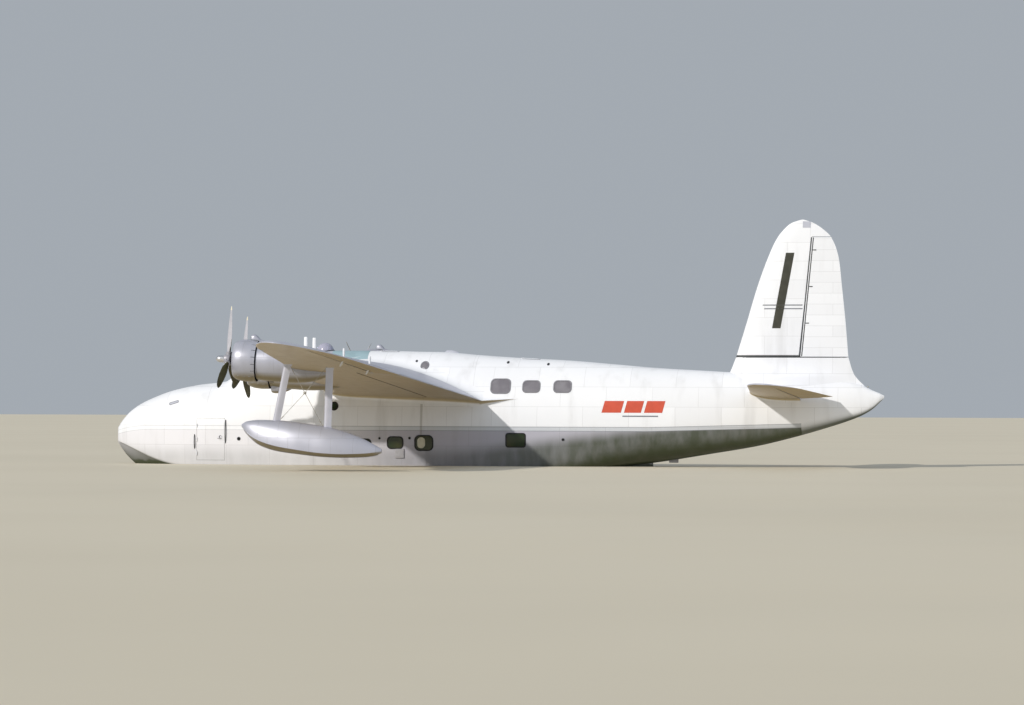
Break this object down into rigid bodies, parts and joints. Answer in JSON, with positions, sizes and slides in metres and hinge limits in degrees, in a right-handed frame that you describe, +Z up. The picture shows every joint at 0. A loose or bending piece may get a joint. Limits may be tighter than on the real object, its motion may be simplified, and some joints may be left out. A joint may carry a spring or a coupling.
{
  "type": "flying boat",
  "caption": "Passenger flying boat afloat, with four radial engines, wing floats on struts, high wing, tall fin and a two-deck hull.",
  "frame": {"origin": "on the centreline at the waterline, 9.6 m aft of the nose tip, between the wing's leading edge and the main step", "axes": "+X aft, +Y to starboard, +Z up; the nose points along -X"},
  "size_m": [26.29, 34.34, 9.75],
  "materials": {
    "white_paint": "gloss white enamel, chalked",
    "bottom_paint": "matt grey-green anti-fouling paint",
    "silver_paint": "aluminium dope and paint, satin",
    "bare_metal": "machined steel",
    "steel_wire": "streamlined steel wire",
    "engine_metal": "cast and finned metal, oily",
    "propeller_metal": "bare aluminium, dark back",
    "black_paint": "crackle black",
    "seat_leather": "worn brown leather",
    "clear_plastic": "clear blown plastic"
  },
  "bodies": {
    "airframe": {"bow_fairing": "white_paint", "hull_forward": "white_paint", "hull_centre": "white_paint", "hull_aft": "white_paint", "tail_cone": "white_paint", "cockpit_canopy": "white_paint", "fin": "white_paint", "fin_fairing": "white_paint", "roof_mast_front": "white_paint", "roof_mast_rear": "white_paint", "planing_bottom_forward": "bottom_paint", "planing_bottom_aft": "bottom_paint", "wing_left": "silver_paint", "wing_right": "silver_paint", "tailplane_left": "silver_paint", "tailplane_right": "silver_paint", "float_left": "silver_paint", "float_right": "silver_paint", "float_strut_front_left": "silver_paint", "float_strut_front_right": "silver_paint", "float_strut_rear_left": "silver_paint", "float_strut_rear_right": "silver_paint", "nacelle_outer_left": "silver_paint", "nacelle_inner_left": "silver_paint", "nacelle_inner_right": "silver_paint", "nacelle_outer_right": "silver_paint", "cowling_outer_left": "silver_paint", "cowling_inner_left": "silver_paint", "cowling_inner_right": "silver_paint", "cowling_outer_right": "silver_paint", "beaching_fitting_left": "bare_metal", "beaching_fitting_right": "bare_metal", "tail_trolley_fitting": "bare_metal", "float_bracing_left": "steel_wire", "float_bracing_right": "steel_wire", "engine_outer_left": "engine_metal", "engine_inner_left": "engine_metal", "engine_inner_right": "engine_metal", "engine_outer_right": "engine_metal", "instrument_panel": "black_paint", "pilot_seat_left": "seat_leather", "pilot_seat_right": "seat_leather", "observation_dome": "clear_plastic"},
    "propeller_outer_left": {"propeller_outer_left": "propeller_metal"},
    "propeller_inner_left": {"propeller_inner_left": "propeller_metal"},
    "propeller_inner_right": {"propeller_inner_right": "propeller_metal"},
    "propeller_outer_right": {"propeller_outer_right": "propeller_metal"},
    "entry_door": {"entry_door": "white_paint"},
    "aileron_left": {"aileron_left": "silver_paint"},
    "aileron_right": {"aileron_right": "silver_paint"},
    "flap_left": {"flap_left": "silver_paint"},
    "flap_right": {"flap_right": "silver_paint"},
    "elevator_left": {"elevator_left": "silver_paint"},
    "elevator_right": {"elevator_right": "silver_paint"},
    "rudder": {"rudder": "white_paint"}
  },
  "joints": [
    {"name": "propeller_outer_left_spin", "type": "hinge", "parent": "airframe", "child": "propeller_outer_left", "pos_m": [-3.17, -8.5, 3.44], "axis": [0.9954, 0.074, -0.061], "continuous": true},
    {"name": "propeller_inner_left_spin", "type": "hinge", "parent": "airframe", "child": "propeller_inner_left", "pos_m": [-3.9, -4.2, 3.238], "axis": [0.9954, 0.074, -0.061], "continuous": true},
    {"name": "propeller_inner_right_spin", "type": "hinge", "parent": "airframe", "child": "propeller_inner_right", "pos_m": [-3.9, 4.2, 3.238], "axis": [0.9954, -0.074, -0.061], "continuous": true},
    {"name": "propeller_outer_right_spin", "type": "hinge", "parent": "airframe", "child": "propeller_outer_right", "pos_m": [-3.17, 8.5, 3.44], "axis": [0.9954, -0.074, -0.061], "continuous": true},
    {"name": "aileron_left_hinge", "type": "hinge", "parent": "airframe", "child": "aileron_left", "pos_m": [1.6975, -9.45, 3.1412], "axis": [-0.0832, -0.9931, 0.083], "range_deg": [-20, 20]},
    {"name": "aileron_right_hinge", "type": "hinge", "parent": "airframe", "child": "aileron_right", "pos_m": [1.6975, 9.45, 3.1412], "axis": [0.0832, -0.9931, -0.083], "range_deg": [-20, 20]},
    {"name": "flap_left_hinge", "type": "hinge", "parent": "airframe", "child": "flap_left", "pos_m": [2.4799, -2.0074, -0.0405], "axis": [0.1098, 0.9894, -0.0947], "range_deg": [0, 25]},
    {"name": "flap_right_hinge", "type": "hinge", "parent": "airframe", "child": "flap_right", "pos_m": [2.4799, 2.0074, -0.0405], "axis": [-0.1098, 0.9894, 0.0947], "range_deg": [0, 25]},
    {"name": "elevator_left_hinge", "type": "hinge", "parent": "airframe", "child": "elevator_left", "pos_m": [14.04, -0.62, 2.4047], "axis": [-0.073, -0.9958, 0.0553], "range_deg": [-16, 20]},
    {"name": "elevator_right_hinge", "type": "hinge", "parent": "airframe", "child": "elevator_right", "pos_m": [14.04, 0.62, 2.4047], "axis": [0.073, -0.9958, -0.0553], "range_deg": [-16, 20]},
    {"name": "rudder_hinge", "type": "hinge", "parent": "airframe", "child": "rudder", "pos_m": [13.96, 0, 3.64], "axis": [0.0943, 0, 0.9955], "range_deg": [-22, 22]},
    {"name": "entry_door_hinge", "type": "hinge", "parent": "airframe", "child": "entry_door", "pos_m": [-6.4, -1.3575, 0.85], "axis": [0, 0, -1], "range_deg": [0, 100]}
  ],
  "couplings": [
    {"joint": "aileron_right_hinge", "follows": "aileron_left_hinge", "ratio": -1},
    {"joint": "flap_right_hinge", "follows": "flap_left_hinge", "ratio": 1},
    {"joint": "elevator_right_hinge", "follows": "elevator_left_hinge", "ratio": 1}
  ]
}
